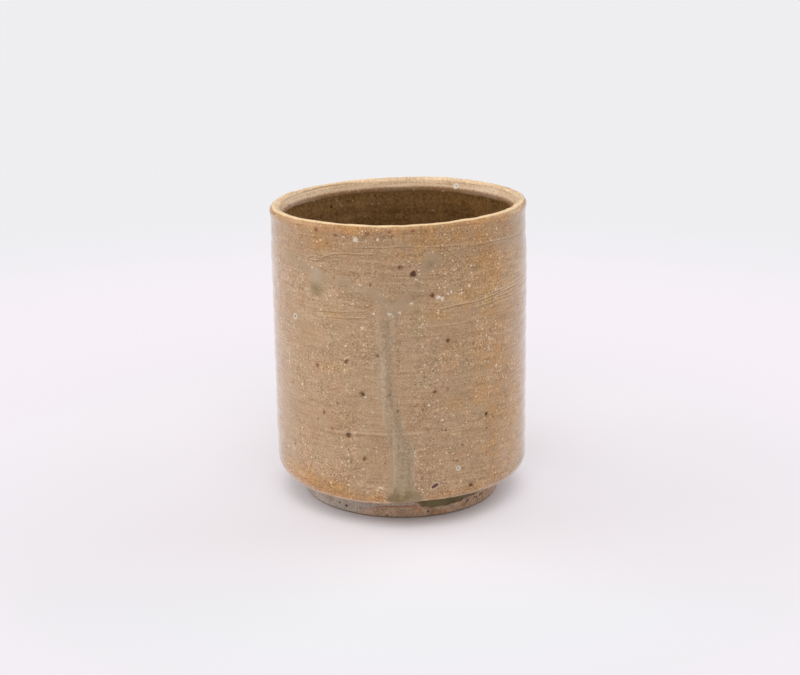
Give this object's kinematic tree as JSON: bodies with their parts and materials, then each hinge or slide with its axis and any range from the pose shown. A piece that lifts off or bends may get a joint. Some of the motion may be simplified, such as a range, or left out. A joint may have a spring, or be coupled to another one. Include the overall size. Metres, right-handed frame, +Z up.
{
  "type": "yunomi tea cup",
  "caption": "Handleless straight-sided stoneware tea cup on a low turned foot, with a sandy ash glaze, a rounded lip and a long glaze run down the front.",
  "frame": {"origin": "middle of the foot ring, on the surface that the cup stands on", "axes": "+Z up along the cup's axis, -Y towards the front, where the long glaze run is"},
  "size_m": [0.0754, 0.076, 0.088],
  "materials": {
    "stoneware": "bare fired stoneware, rough",
    "foot_clay": "turned bare stoneware with a grey wash",
    "liner_glaze": "glossy olive brown glaze with fine grains",
    "sandy_glaze": "satin sandy tan glaze with cream grains and iron specks",
    "lip_glaze": "thin pale tan glaze",
    "ash_glaze": "glossy grey green run ash",
    "olive_glaze": "glassy dark olive"
  },
  "bodies": {
    "root": {"clay_body": "stoneware", "foot_ring": "foot_clay", "liner_glaze": "liner_glaze", "outer_glaze": "sandy_glaze", "lip_glaze": "lip_glaze", "ash_run": "ash_glaze", "ash_drips": "ash_glaze", "foot_glaze": "olive_glaze"}
  },
  "joints": []
}
